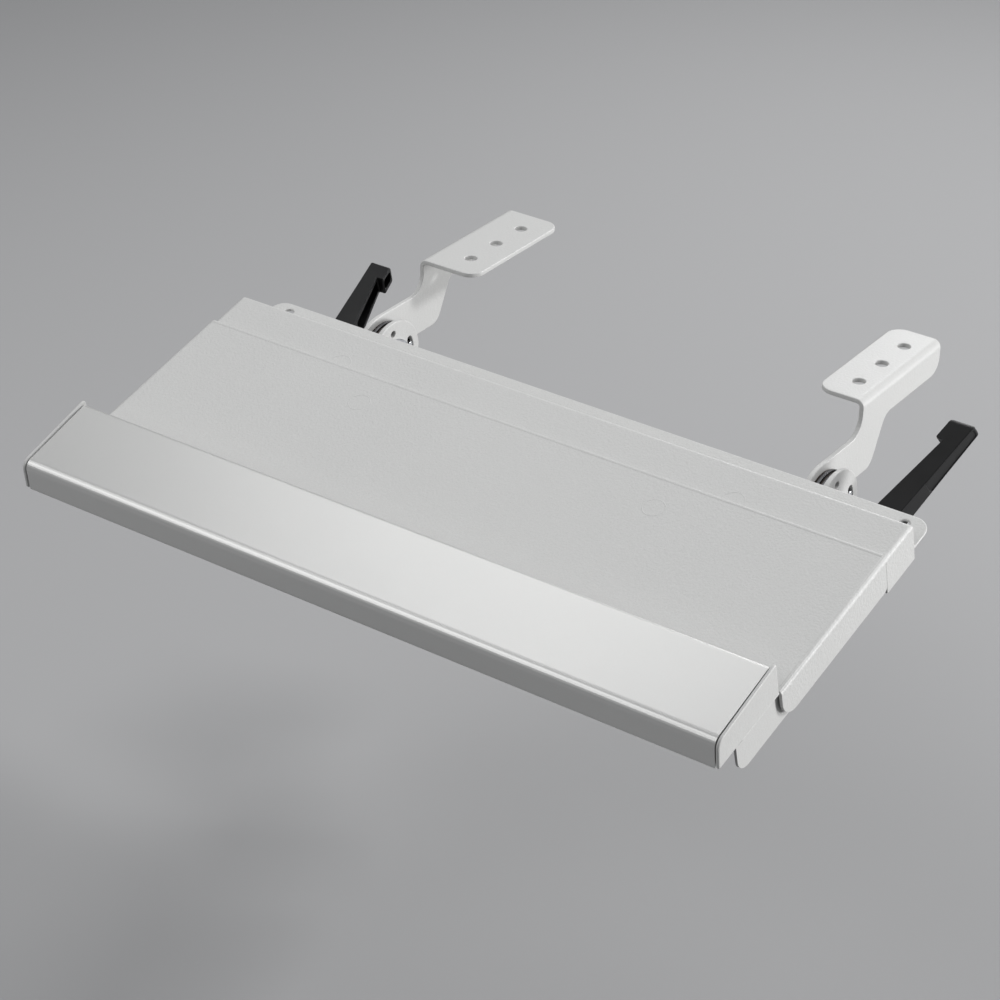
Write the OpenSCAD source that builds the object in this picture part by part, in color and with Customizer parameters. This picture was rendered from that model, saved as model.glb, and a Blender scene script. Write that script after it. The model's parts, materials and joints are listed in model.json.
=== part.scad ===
// Keyboard tray hung under a desk on two bent arms, with a tilt joint at each arm.
// Millimetres. X runs to the right, Y to the back, Z up.
// The origin is the centre of the desk screw holes, on the top face of the arm plates.
// Tray pieces are drawn in the tray's own frame: y = 0 at the rear edge of the shelf,
// z = 0 on the shelf's top face, and on_tray() hangs them on the tilt axis.

/* [Shelf] */
// Outer width of the keyboard shelf
shelf_w = 482; // [470:1:520]
// Depth of the shelf sheet, front to back
shelf_d = 114; // [100:0.5:140]
// Thickness of the shelf sheet
sheet_t = 2; // [1.5:0.1:3]
// Height of the shelf's side flanges, top face included
shelf_flange_h = 23; // [20:0.5:32]
// Outer radius of the sheet bends
bend_r = 3; // [2.5:0.5:5]
// Radius of the front lower corners of the shelf's flanges
shelf_corner_r = 13; // [3:0.5:16]
// Gap between the shelf flanges and the carrier cheeks behind them
flange_gap = 2; // [1:0.5:4]

/* [Rear carrier] */
// Depth of the strip that shows behind the shelf
strip_d = 30.5; // [24:1:45]
// Inset of the carrier cheeks from the shelf's sides
cheek_inset = 1.2; // [0.5:0.1:2]
// Height of the carrier's side cheeks
cheek_h = 26.5; // [24:0.1:34]
// Drop from the strip down to the rear band
band_drop = 17; // [12:0.5:20]
// Depth of the rear band behind the strip
band_d = 21.9; // [20:0.1:24]
// Radius of the band's rear corners
band_corner_r = 10; // [3:0.5:14]
// Diameter of the two corner holes in the band
band_hole_d = 6.5; // [4:0.5:8]
// How far the band's left end stops short of the carrier's side
band_left_inset = 8; // [2:0.5:12]
// Distance of the corner holes from the band's ends
band_hole_side = 14; // [10:0.5:30]
// Distance of the corner holes from the band's rear edge
band_hole_rear = 7.7; // [6:0.1:12]
// How far the carrier reaches forward under the shelf
carrier_reach = 34; // [30:1:36]
// Clearance between the carrier's tongue and the slide plate's side flanges
tongue_gap = 2; // [1:0.5:4]

/* [Depth slide] */
// Thickness of the slide plate
slide_t = 1.6; // [1.2:0.1:2]
// Running gap above and below the slide plate
slide_gap = 0.2; // [0.15:0.05:0.3]
// Side gap between the slide plate and the shelf flanges
slide_side_gap = 1; // [0.5:0.1:1.5]
// Depth of the slide plate's side flanges
slide_flange_h = 23.5; // [20:0.5:32]
// Radius of the front lower corners of its flanges
slide_corner_r = 10; // [3:0.5:12]
// How far the slide plate stands out in front of the shelf
slide_reach = 41.5; // [34:0.5:50]
// Distance from the shelf's rear edge to the slide plate's rear edge
slide_back = 42; // [40:1:50]
// Travel of the hand rest towards the user
slide_travel = 30; // [10:1:34]
// Distance of the guide straps from the bracket studs
strap_inset = 35.6; // [30:0.1:80]
// Width of the guide straps
strap_w = 24; // [18:1:28]
// Thickness of the guide straps
strap_t = 3; // [2:0.5:4]
// Where the slide studs stand, in front of the shelf's rear edge
slide_stud_y = 62; // [56:1:66]

/* [Hand rest] */
// Depth of the hand rest, front to back
rest_d = 59; // [50:0.5:80]
// Height of the hand rest's rear top edge above the shelf
rest_rear_h = 21.5; // [16:0.5:26]
// Height of the hand rest's front top edge above the shelf
rest_front_h = 18; // [14:0.5:24]
// How far the front face leans in at its top
rest_lean = 2.5; // [0:0.5:5]
// Thickness of the hand rest's sheet
rest_t = 1.5; // [1.2:0.1:2]
// Radius of the rounded front top edge
rest_nose_r = 6; // [2.5:0.5:7]
// Radius of the other hand rest bends
rest_bend_r = 3; // [2.5:0.5:4]
// Depth of the hand rest's rear foot
rest_rear_foot = 17; // [14:0.5:20]
// Depth of the hand rest's front foot
rest_front_foot = 36; // [32:0.5:40]
// Thickness of the end plates
end_t = 2; // [1.5:0.1:3]
// How far the end plates stand proud of the hand rest's sheet
end_proud = 0.5; // [0.3:0.1:2]
// How far the end plates reach back over the shelf, from the hand rest's sheet
end_back = 1.8; // [1:0.1:3]
// How much higher the end plates stand at their rear
end_rise = 1; // [0:0.1:2]
// Radius of the end plates' front top corner
end_nose_r = 6.5; // [3:0.5:7.5]
// Radius of the end plates' front lower corner
end_foot_r = 4.5; // [3:0.5:6]
// Gap between the end plates and the shelf's top face
end_low = 0.3; // [0.2:0.1:1]
// Joint gap between the hand rest's sheet and its end plates
end_gap = 0.8; // [0.2:0.1:1]
// Width of the tab that holds an end plate inside the hand rest
end_tab_w = 16; // [12:1:24]
// Gap between the hand rest and the shelf's front edge
rest_gap = 3.1; // [0.5:0.1:4]

/* [Arms] */
// Distance from the middle to the outer face of the left arm
left_arm_out = 168.5; // [160:0.1:180]
// Distance from the middle to the outer face of the right arm
right_arm_out = 157.3; // [152:0.1:180]
// Thickness of the arm plate
arm_t = 3; // [2.5:0.5:4]
// Distance from the middle to the free edges of the desk plates
arm_free_x = 124.8; // [110:0.1:130]
// Length of the arm's desk plate
arm_plate_l = 97; // [90:1:120]
// Distance from the middle to the screw holes
hole_x = 142.5; // [138:0.1:146]
// Pitch of the three desk screw holes
hole_pitch = 28; // [20:0.5:32]
// Diameter of the desk screw holes
hole_d = 8; // [5:0.5:9]
// Outer radius of the arm's bend
arm_bend_r = 5; // [4.5:0.5:8]
// Radius of the arm plate's free corners
arm_corner_r = 10; // [4:0.5:14]
// Height of the arm's side web, desk plate included
web_h = 21.3; // [16:0.1:24]
// Depth of the neck's upper edge under the desk plate's top
neck_top = 22.2; // [18:0.1:26]
// Depth of the neck's lower edge under the desk plate's top
neck_low = 50.8; // [44:0.1:54]
// Radius of the web's rounded corners
web_corner_r = 10; // [5:0.5:12]
// Radius of the fillet between the web's front edge and the neck
neck_fillet_r = 12; // [5:0.5:13]
// Where the neck's lower edge starts to rise, in front of the desk hole centre
neck_rise = 33.6; // [30:0.1:46]
// Where that rise ends at the web's lower edge, in front of the desk hole centre
web_rise = 18.5; // [10:0.1:26]

/* [Tilt joint] */
// Distance of the tilt axis in front of the desk hole centre
pivot_y = 94.2; // [90:0.1:110]
// Depth of the tilt axis under the desk plates
pivot_z = 49.7; // [49:0.1:54]
// Distance of the tilt axis behind the shelf's rear edge
pivot_back = 65.6; // [64:0.1:70]
// Depth of the tilt axis under the shelf's top face
pivot_low = 51.6; // [51:0.1:56]
// Tilt of the tray, front edge down, as it hangs in the rest pose
tilt = 14; // [0:1:20]
// Tilt travel from the rest pose with the front edge going up
tilt_up = 14; // [5:1:16]
// Tilt travel from the rest pose with the front edge going down
tilt_down = 16; // [5:1:18]
// Radius of the tray bracket's round ear
ear_r = 26; // [24:0.1:26.5]
// Thickness of the tray brackets
bracket_t = 3; // [2.5:0.5:4]
// How far the tray brackets reach forward under the shelf
bracket_reach = 32; // [30:1:33]
// Height of the bracket's front edge
bracket_nose_h = 14; // [10:1:18]
// Distance behind the shelf's rear edge where the bracket reaches its full depth
bracket_knee = 44; // [30:1:50]
// Radius of the bracket's front corners
bracket_corner_r = 6; // [3:0.5:8]
// Gap between the brackets and the carrier's drop and band
bracket_gap = 1.2; // [1:0.1:1.6]
// How far the bracket's flange reaches past its studs
flange_edge = 13; // [10:0.5:15]
// Thickness of each friction lining
lining_t = 1.7; // [1:0.1:2.5]
// Thickness of the steel disc keyed to the arm
arm_disc_t = 2; // [1.5:0.1:3]
// Thickness of the steel disc keyed to the ear
ear_disc_t = 2.1; // [1.5:0.1:3]
// Radius of the steel friction discs
disc_r = 23.5; // [22.5:0.1:24]
// Radius of the friction linings
lining_r = 22.6; // [21.5:0.1:23]
// Running gap between the arm's discs and the ear's discs
disc_gap = 0.1; // [0.05:0.05:0.2]
// Outer diameter of the pivot bush
bush_d = 12; // [11:0.5:14]
// Diameter of the clamping stud
stud_d = 8; // [6:0.5:8]
// Radial running clearance of the stud in the bush
stud_fit = 0.08; // [0.04:0.01:0.1]
// Radial running clearance of the ear on the bush
ear_fit = 0.06; // [0.04:0.01:0.08]
// Distance of the limit pin from the tilt axis
pin_r = 18.1; // [17.5:0.1:18.6]
// Diameter of the limit pin
pin_d = 4; // [3.5:0.5:5]
// Angle of the limit pin above the horizontal, behind the axis
pin_a = 11; // [5:0.5:14]
// Clearance round a moving pin or screw
slot_fit = 0.3; // [0.25:0.05:0.4]
// Diameter of the ear's second hole
spare_hole_d = 4.4; // [4:0.1:5]
// Angle of the ear's second hole in the tray's frame
spare_hole_a = 78; // [70:1:95]

/* [Clamping levers] */
// Length of the lever from the axis to its tip
lever_l = 74; // [65:1:90]
// Height of the lever's hub over its seat
lever_hub_h = 35.2; // [34:0.1:40]
// Outer diameter of the hub
lever_hub_d = 20; // [19:0.5:22]
// Outward slope of the lever's top, in degrees
lever_slope = 16.2; // [8:0.1:18]
// Thickness of the lever at its axis
lever_root_t = 16.4; // [14:0.1:18]
// Thickness of the lever where its finger pad starts
lever_end_t = 10.4; // [9:0.1:12]
// Width of the lever at its axis
lever_root_w = 17; // [14:0.1:18]
// Width of the lever at its tip
lever_tip_w = 11.2; // [10:0.1:13]
// Radius of the lever's tip corners, seen along the stud
lever_tip_r = 3; // [1:0.5:4]
// Length of the finger pad at the tip
pad_l = 14.2; // [12:0.1:20]
// Height of the finger pad
pad_h = 5; // [3:0.1:6]
// Wall thickness of the hollow underside
lever_wall = 2.4; // [2:0.1:3]
// Depth of the long recess in the lever's top
recess_h = 0.5; // [0.3:0.1:0.8]
// How far the lever lifts off its serrations
lever_lift = 3.5; // [2:0.5:4]
// Angle of the left lever over the horizontal, pointing back
left_lever_a = 13; // [0:1:45]
// Angle of the right lever over the horizontal, pointing back
right_lever_a = 42; // [0:1:45]

/* [Fasteners] */
// Distance of the bracket studs from the nearer bracket's web
bracket_stud_inset = 14.3; // [13:0.1:17]
// Diameter of the bracket studs
m6_d = 6; // [5:0.5:6]
// Diameter of the shelf and slide studs
m5_d = 5; // [4:0.5:5]
// Clearance of a stud in its hole
hole_fit = 0.3; // [0.2:0.05:0.4]
// Diameter of the hand rest screws
m4_d = 4; // [3:0.5:4]
// Thickness of the small washers
washer_t = 1.2; // [1:0.1:1.6]
// Thickness of the pressure washers
press_washer_t = 2; // [1.5:0.1:3]
// Outer diameter of the pressure washers under the nuts
press_washer_d = 28; // [22:0.5:29]
// Outer diameter of the washers under the levers' hubs
hub_washer_d = 21; // [20:0.5:24]

/* [Hidden] */
$fn = 64;
cut = 1;
arc_steps = 8;
hex_sides = 6;

// Shelf, carrier and slide plate
half_w = shelf_w / 2;
carrier_half = half_w - cheek_inset;
carrier_top = -sheet_t;
carrier_bot = carrier_top - sheet_t;
band_top = carrier_top - band_drop;
band_rear = strip_d + band_d;
band_left = band_left_inset - carrier_half;
slide_half = half_w - sheet_t - slide_side_gap;
slide_top = -sheet_t - slide_gap;
slide_bot = slide_top - slide_t;
slide_front = -shelf_d - slide_reach;
strap_top = slide_bot - slide_gap;
strap_bot = strap_top - strap_t;
strap_end = 16;
strap_front = -slide_stud_y - slide_travel - strap_end;
strap_rear = -4;
tongue_half = slide_half - slide_t - tongue_gap;
shelf_stud_y = -24;
strap_stud_y = -10;
bracket_stud_ys = [3, -22];
bracket_front = -bracket_reach;
ear_step = 0.6;
inner_corner_r = 2;
slide_tail_r = 4;
strap_front_r = 5;
strap_rear_r = 3;
flange_end = 3;
flange_step = 0.5;

// Hand rest outline, in the tray's Y and Z, counterclockwise
rest_rear = -shelf_d - rest_gap;
rest_front = rest_rear - rest_d;
rest_pts = [[rest_front, slide_top], [rest_rear, slide_top], [rest_rear, rest_rear_h],
            [rest_front + rest_lean, rest_front_h]];
rest_radii = [rest_bend_r, rest_bend_r, rest_bend_r, rest_nose_r];
foot_slot_rear = rest_rear - rest_rear_foot;
foot_slot_front = rest_front + rest_front_foot;
rest_screw_ys = [rest_rear - rest_rear_foot / 2, (foot_slot_front + slide_front) / 2];
rest_screw_xs = [-180, -60, 60, 180];
end_top = rest_rear_h + end_proud + end_rise;
end_pts = [for (p = inward(rest_pts, -end_proud))
    p[0] < rest_rear ? p : [rest_rear + end_back, p[1] > rest_front_h ? end_top : p[1]]];
end_radii = [end_foot_r, rest_bend_r, rest_bend_r, end_nose_r];
tab_edge = 5;
tab_screw_x = half_w - end_t - end_tab_w / 2;
rest_half = half_w - end_t - end_gap;
screw_head = [7, 2.2];
screw_over = 4;

// Tilt joint, along X from the arm web's right face
stack_t = 2 * lining_t + arm_disc_t + ear_disc_t + disc_gap;
arm_disc_r = pivot_z - neck_top;
left_face = -left_arm_out + arm_t;
right_face = right_arm_out;
bracket_stud_x = min(-left_face - stack_t - bracket_t, right_face + stack_t)
                 - bracket_stud_inset;
strap_x = bracket_stud_x - strap_inset;
ear_disc_x = lining_t + arm_disc_t + disc_gap;
ear_x = stack_t;
ear_out = stack_t + bracket_t;
bush_end_gap = 0.2;
pin_end_gap = 0.3;
nut_m8 = [13, 6.5];
nut_m6 = [10, 5];
nut_m5 = [8, 4];
nut_m4 = [7, 3];
washer_wider = 2;
stud_over = 2.5;
hub_washer_t = 2;

// Clamping lever, in its own frame: z away from its seat, x along the lever
insert_flange_t = 1;
insert_d = 13.4;
insert_h = 18;
socket_d = 14.1;
socket_h = 18.5;
shoulder_h = 20.5;
head_d = 9;
head_h = 3;
head_low = 28;
head_bore_d = 10.8;
screw_d = 5;
screw_bore_d = 6.4;
screw_low = 10;
spring_d = 9.2;
spring_wire = 0.8;
spring_turns = 4;
spring_steps = 24;
wire_sides = 8;
lever_gap = 0.2;
lever_low = insert_flange_t + lever_gap;
hub_r = lever_hub_d / 2;
pad_start = lever_l - pad_l;
slope_rise = tan(lever_slope);
hollow_start = hub_r + 2 * lever_wall;
pocket_r = 2;
hollow_h = 6;
recess_start = 31;

coat = [0.80, 0.80, 0.79];
steel = [0.62, 0.63, 0.65];
black = [0.12, 0.12, 0.13];
fibre = [0.33, 0.30, 0.27];

// Points and outlines
function unit(v) = v / norm(v);
function wrap(a) = a > 180 ? a - 360 : a < -180 ? a + 360 : a;

// Arc of radius r that rounds corner p between neighbours a and b
function corner(a, p, b, r) =
    let (u = unit(a - p), v = unit(b - p), half = acos(u * v) / 2,
         c = p + unit(u + v) * r / sin(half),
         s = p + u * r / tan(half), e = p + v * r / tan(half),
         a0 = atan2(s[1] - c[1], s[0] - c[0]),
         turn = wrap(atan2(e[1] - c[1], e[0] - c[0]) - a0))
    [for (i = [0:arc_steps]) c + r * [cos(a0 + turn * i / arc_steps),
                                      sin(a0 + turn * i / arc_steps)]];

function rounded(pts, radii) =
    let (n = len(pts))
    [for (i = [0:n - 1])
        each radii[i] > 0 ? corner(pts[(i + n - 1) % n], pts[i], pts[(i + 1) % n], radii[i])
                          : [pts[i]]];

// Inward offset of a counterclockwise outline
function inward(pts, t) =
    let (n = len(pts))
    [for (i = [0:n - 1])
        let (u = unit(pts[i] - pts[(i + n - 1) % n]), v = unit(pts[(i + 1) % n] - pts[i]),
             m = [-u[1], u[0]], k = [-v[1], v[0]])
        pts[i] + t * (m + k) / (1 + m * k)];

// Extrusions along X of a Y-Z outline, and along Y of an X-Z outline
module along_x(x0, x1) {
    translate([x0, 0, 0]) rotate([90, 0, 90]) linear_extrude(x1 - x0) children();
}

module along_y(y0, y1) {
    translate([0, y1, 0]) rotate([90, 0, 0]) linear_extrude(y1 - y0) children();
}

// Section of a sheet channel that is open below
module channel(half, top, depth, t, r) {
    difference() {
        polygon(rounded([[-half, top - depth], [half, top - depth], [half, top],
                         [-half, top]], [0, 0, r, r]));
        polygon(rounded([[-half + t, top - depth - cut], [half - t, top - depth - cut],
                         [half - t, top - t], [-half + t, top - t]],
                        [0, 0, r - t, r - t]));
    }
}

// Disc along X with a bore, standing from x0 to x1 on the axis
module disc(x0, x1, r, bore_r) {
    along_x(x0, x1) difference() {
        circle(r);
        circle(bore_r);
    }
}

module hex_nut(size, bore_d) {
    difference() {
        cylinder(h = size[1], r = size[0] / sqrt(3), $fn = hex_sides);
        translate([0, 0, -cut]) cylinder(h = size[1] + 2 * cut, d = bore_d);
    }
}

module washer(d, bore_d, t) {
    difference() {
        cylinder(h = t, d = d);
        translate([0, 0, -cut]) cylinder(h = t + 2 * cut, d = bore_d);
    }
}

// Slot of width w along an arc about the origin, with its round ends at angles a0 and a1
function polar(r, a) = r * [cos(a), sin(a)];

module arc_slot(r, a0, a1, w) {
    turn = a1 - a0;
    polygon([
        for (i = [0:arc_steps]) polar(r + w / 2, a0 + turn * i / arc_steps),
        for (i = [1:arc_steps - 1]) polar(r, a1) + polar(w / 2, a1 + 180 * i / arc_steps),
        for (i = [0:arc_steps]) polar(r - w / 2, a1 - turn * i / arc_steps),
        for (i = [1:arc_steps - 1]) polar(r, a0) - polar(w / 2, a0 + 180 * i / arc_steps)]);
}

// Frames
module on_tray() {
    translate([0, -pivot_y, -pivot_z]) rotate([tilt, 0, 0])
        translate([0, -pivot_back, pivot_low]) children();
}

module on_axis(face) {
    translate([face, -pivot_y, -pivot_z]) children();
}

// Seats a lever on the outer side of a joint: side -1 points it left, 1 right
module on_lever(side, seat, angle) {
    translate([seat, -pivot_y, -pivot_z]) rotate([angle + side * 90, 0, 0])
        rotate([0, side * 90, 0]) children();
}

left_seat = -left_arm_out - hub_washer_t;
right_seat = right_face + ear_out + hub_washer_t;
clamp_span = arm_t + stack_t + bracket_t;

// Arms
module arm_side() {
    half_l = arm_plate_l / 2;
    polygon(rounded(
        [[half_l, 0], [-half_l, 0], [-half_l, -neck_top], [-pivot_y, -neck_top],
         [-pivot_y, -neck_low], [-neck_rise, -neck_low], [-web_rise, -web_h],
         [half_l, -web_h]],
        [0, 0, neck_fillet_r, 0, 0, web_corner_r, web_corner_r, web_corner_r]));
    translate([-pivot_y, -pivot_z]) circle(arm_disc_r);
}

// Arm with its web at the left, out from the middle
module arm(out) {
    half_l = arm_plate_l / 2;
    in_x = -out + arm_t;
    low = -pivot_z - arm_disc_r;
    difference() {
        intersection() {
            along_y(-pivot_y - arm_disc_r, half_l) difference() {
                polygon(rounded([[-out, low], [-arm_free_x, low], [-arm_free_x, 0], [-out, 0]],
                                [0, 0, 0, arm_bend_r]));
                polygon(rounded([[in_x, low - cut], [cut - arm_free_x, low - cut],
                                 [cut - arm_free_x, -arm_t], [in_x, -arm_t]],
                                [0, 0, 0, arm_bend_r - arm_t]));
            }
            along_x(-out, -arm_free_x) arm_side();
        }
        for (i = [-1:1]) translate([-hole_x, i * hole_pitch, -arm_t - cut])
            cylinder(h = arm_t + 2 * cut, d = hole_d);
        for (s = [-1, 1])
            translate([-arm_free_x - arm_corner_r, s * (half_l - arm_corner_r), 0])
                mirror([0, s < 0 ? 1 : 0, 0]) difference() {
                    translate([0, 0, -arm_t - cut])
                        cube([arm_corner_r + cut, arm_corner_r + cut, arm_t + 2 * cut]);
                    translate([0, 0, -arm_t - 2 * cut])
                        cylinder(h = arm_t + 4 * cut, r = arm_corner_r);
                }
        on_axis(0) along_x(-out - cut, in_x + cut) {
            circle(bush_d / 2);
            rotate(pin_a) translate([pin_r, 0]) circle(pin_d / 2);
        }
    }
}

module left_arm() {
    color(coat) arm(left_arm_out);
}

module right_arm() {
    color(coat) mirror([1, 0, 0]) arm(right_arm_out);
}

// Pieces on the tilt axis, drawn from the arm web's right face
module pivot_bush(face) {
    color(steel) on_axis(face)
        disc(-arm_t, ear_out - bush_end_gap, bush_d / 2, stud_d / 2 + stud_fit);
}

module limit_pin(face) {
    color(steel) on_axis(face) rotate([pin_a, 0, 0]) translate([0, pin_r, 0])
        along_x(-arm_t, ear_out - pin_end_gap) circle(pin_d / 2);
}

// Friction disc that turns with the arm: a plain hole for the pin
module arm_ring(x0, x1, r) {
    along_x(x0, x1) difference() {
        circle(r);
        circle(bush_d / 2);
        rotate(pin_a) translate([pin_r, 0]) circle(pin_d / 2);
    }
}

// Friction disc that turns with the ear: an arc slot for the pin
module ear_ring(x0, x1, r) {
    along_x(x0, x1) difference() {
        circle(r);
        circle(bush_d / 2 + slot_fit);
        pin_slot();
    }
}

module pin_slot() {
    arc_slot(pin_r, pin_a - tilt_down, pin_a + tilt_up, pin_d + 2 * slot_fit);
}

module arm_lining(face) {
    color(fibre) on_axis(face) arm_ring(0, lining_t, lining_r);
}

module arm_disc(face) {
    color(steel) on_axis(face) arm_ring(lining_t, lining_t + arm_disc_t, disc_r);
}

module ear_lining(face) {
    color(fibre) on_axis(face) ear_ring(ear_disc_x, ear_disc_x + lining_t, lining_r);
}

module ear_disc(face) {
    color(steel) on_axis(face) ear_ring(ear_disc_x + lining_t, ear_x, disc_r);
}

// Tray bracket: an ear on the tilt axis and a flange under the carrier
module bracket_outline() {
    ear_low = ear_step - pivot_low - ear_r;
    wall_y = strip_d - sheet_t - bracket_gap;
    band_z = band_top - sheet_t - bracket_gap;
    ear_front = pivot_back - ear_r;
    polygon(rounded(
        [[bracket_front, carrier_bot], [bracket_front, carrier_bot - bracket_nose_h],
         [bracket_knee, ear_low], [pivot_back, ear_low], [pivot_back, -pivot_low],
         [ear_front, band_z], [wall_y, band_z], [wall_y, carrier_bot]],
        [0, bracket_corner_r, 2 * bracket_corner_r, 0, 0, 0, inner_corner_r, 0]));
    translate([pivot_back, -pivot_low]) circle(ear_r);
}

module bracket_side() {
    difference() {
        bracket_outline();
        translate([pivot_back, -pivot_low]) {
            circle(bush_d / 2 + ear_fit);
            rotate(-tilt) pin_slot();
            rotate(spare_hole_a) translate([pin_r, 0]) circle(spare_hole_d / 2);
        }
    }
}

module bracket(face, reach) {
    flange_rear = strip_d - sheet_t - bracket_gap;
    x0 = face + ear_x;
    flange_x0 = min(x0, reach);
    color(coat) on_tray() difference() {
        union() {
            along_x(x0, x0 + bracket_t) bracket_side();
            translate([flange_x0, bracket_front, carrier_bot - bracket_t])
                cube([max(x0 + bracket_t, reach) - flange_x0, flange_rear - bracket_front,
                      bracket_t]);
        }
        for (y = bracket_stud_ys)
            translate([sign(face) * bracket_stud_x, y, carrier_bot - bracket_t - cut])
                cylinder(h = bracket_t + 2 * cut, d = m6_d + 2 * hole_fit);
    }
}

// Side of a joint that the nut is on: the left nut on the ear, the right nut on the arm
module left_nut_side() {
    on_axis(left_face + ear_out) rotate([0, 90, 0]) children();
}

module right_nut_side() {
    on_axis(right_face - arm_t) rotate([0, -90, 0]) children();
}

module pressure_washer() {
    washer(press_washer_d, stud_d + 2 * stud_fit, press_washer_t);
}

module hub_washer() {
    disc(0, hub_washer_t, hub_washer_d / 2, stud_d / 2 + stud_fit);
}

module clamp_nut() {
    translate([0, 0, press_washer_t]) hex_nut(nut_m8, stud_d + 2 * stud_fit);
}

// Clamping lever
module clamp_stud() {
    cylinder(h = insert_flange_t, d = lever_hub_d - 1);
    difference() {
        cylinder(h = insert_h, d = insert_d);
        translate([0, 0, screw_low]) cylinder(h = insert_h, d = screw_d);
    }
    stud_len = hub_washer_t + clamp_span + press_washer_t + nut_m8[1] + stud_over;
    translate([0, 0, -stud_len]) cylinder(h = stud_len + cut, d = stud_d);
}

module lever_screw() {
    translate([0, 0, screw_low]) cylinder(h = head_low + cut - screw_low, d = screw_d);
    translate([0, 0, head_low]) cylinder(h = head_h, d = head_d);
}

// Compression spring: rings of points along a helix, joined by quads
module lever_spring() {
    rings = spring_turns * spring_steps;
    mid_r = (spring_d - spring_wire) / 2;
    wire_r = spring_wire / 2;
    low = shoulder_h + wire_r;
    rise = head_low - shoulder_h - spring_wire;
    pts = [for (i = [0:rings], j = [0:wire_sides - 1])
        let (a = 360 * i / spring_steps, b = 360 * j / wire_sides,
             r = mid_r + wire_r * cos(b))
        [r * cos(a), r * sin(a), low + rise * i / rings + wire_r * sin(b)]];
    sides = [for (i = [0:rings - 1], j = [0:wire_sides - 1])
        let (k = (j + 1) % wire_sides)
        [i * wire_sides + j, i * wire_sides + k, (i + 1) * wire_sides + k,
         (i + 1) * wire_sides + j]];
    ends = [[for (j = [wire_sides - 1:-1:0]) j],
            [for (j = [0:wire_sides - 1]) rings * wire_sides + j]];
    polyhedron(pts, concat(sides, ends), convexity = 10);
}

// Heights of the lever's top and underside at distance r from its axis
function lever_top(r) = lever_hub_h + r * slope_rise;
function lever_under(r) =
    lever_top(r) - lever_root_t - (lever_end_t - lever_root_t) * r / pad_start;

module lever_outline() {
    heel = 0.7 * hub_r;
    tip_low = lever_top(lever_l) - lever_end_t - pad_h;
    polygon(rounded(
        [[-heel, lever_under(0)], [hub_r, lever_under(hub_r)],
         [pad_start, lever_under(pad_start)], [pad_start, lever_under(pad_start) - pad_h],
         [lever_l, tip_low], [lever_l, lever_top(lever_l)], [0, lever_hub_h],
         [-heel, lever_hub_h]],
        [0, 4, 0.5, 1.2, 2, 1.5, 6, 0]));
}

// Plan of the lever, drawn in by wall on every side, with its start and end corner radii
module lever_plan(start, end, wall, start_r, end_r) {
    slope = (lever_tip_w - lever_root_w) / lever_l / 2;
    polygon(rounded([for (p = [[start, -1], [end, -1], [end, 1], [start, 1]])
        [p[0], p[1] * (lever_root_w / 2 + slope * p[0] - wall)]],
        [start_r, end_r, end_r, start_r]));
}

// Part of the lever between a side outline and a plan, which are its two children
module lever_part() {
    tall = lever_top(lever_l) + cut;
    intersection() {
        rotate([90, 0, 0]) translate([0, 0, -lever_hub_d / 2])
            linear_extrude(lever_hub_d) children(0);
        linear_extrude(tall) children(1);
    }
}

module lever() {
    heel = 0.7 * hub_r;
    tip_in = lever_l - lever_wall;
    hollow_end = pad_start - lever_wall / 2;
    pocket_start = pad_start + lever_wall / 2;
    difference() {
        union() {
            translate([0, 0, lever_low])
                cylinder(h = lever_hub_h - lever_low, d = lever_hub_d);
            lever_part() {
                lever_outline();
                lever_plan(-heel, lever_l, 0, 0, lever_tip_r);
            }
        }
        lever_part() {
            polygon([for (p = [[hollow_start, -cut], [hollow_end, -cut],
                               [hollow_end, hollow_h], [hollow_start, hollow_h]])
                [p[0], lever_under(p[0]) + p[1]]]);
            lever_plan(hollow_start, hollow_end, lever_wall, pocket_r, 0);
        }
        lever_part() {
            polygon([for (p = [[pocket_start, -pad_h - cut], [tip_in, -pad_h - cut],
                               [tip_in, hollow_h - pad_h], [pocket_start, hollow_h - pad_h]])
                [p[0], lever_top(p[0]) - lever_end_t + p[1]]]);
            lever_plan(pocket_start, tip_in, lever_wall, pocket_r, pocket_r);
        }
        lever_part() {
            polygon([for (p = [[recess_start, -recess_h], [tip_in, -recess_h],
                               [tip_in, recess_h], [recess_start, recess_h]])
                [p[0], lever_top(p[0]) + p[1]]]);
            lever_plan(recess_start, tip_in, lever_wall / 2, pocket_r, pocket_r);
        }
        translate([0, 0, -cut]) cylinder(h = socket_h + cut, d = socket_d);
        translate([0, 0, -cut]) cylinder(h = lever_hub_h, d = screw_bore_d);
        translate([0, 0, shoulder_h]) cylinder(h = lever_hub_h, d = head_bore_d);
    }
}

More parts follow.
